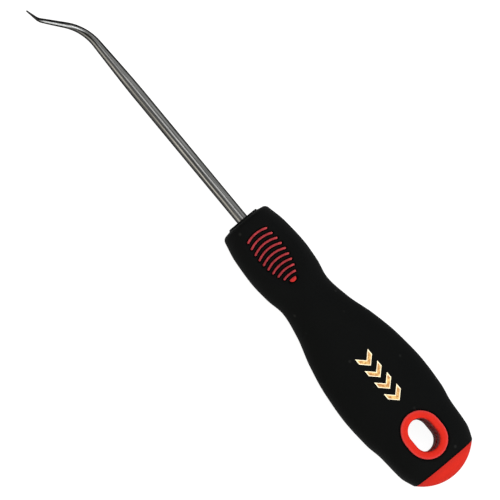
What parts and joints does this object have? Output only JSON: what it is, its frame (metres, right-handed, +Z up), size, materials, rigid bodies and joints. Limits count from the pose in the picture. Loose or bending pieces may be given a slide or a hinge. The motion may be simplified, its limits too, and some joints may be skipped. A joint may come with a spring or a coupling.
{
  "type": "angled pick",
  "caption": "Hand pick with a round tapered steel blade bent to a sharp offset point, in a soft-grip moulded handle with a ribbed thumb dish, a hang slot and a domed butt.",
  "frame": {"origin": "middle of the whole length, on the blade's axis seen from above, on the bench that the tool lies on", "axes": "+X along the bench from the point to the butt, with the blade's axis rising 1 degree toward the butt; -Y the side that the point bends to; +Z up from the bench"},
  "size_m": [0.2017, 0.032, 0.0207],
  "materials": {
    "steel": "drawn, satin",
    "red_plastic": "moulded, satin",
    "black_rubber": "moulded, matt",
    "gold_foil": "hot-stamped foil"
  },
  "bodies": {
    "root": {"pick_blade": "steel", "handle_core": "red_plastic", "grip_sleeve": "black_rubber"}
  },
  "joints": []
}
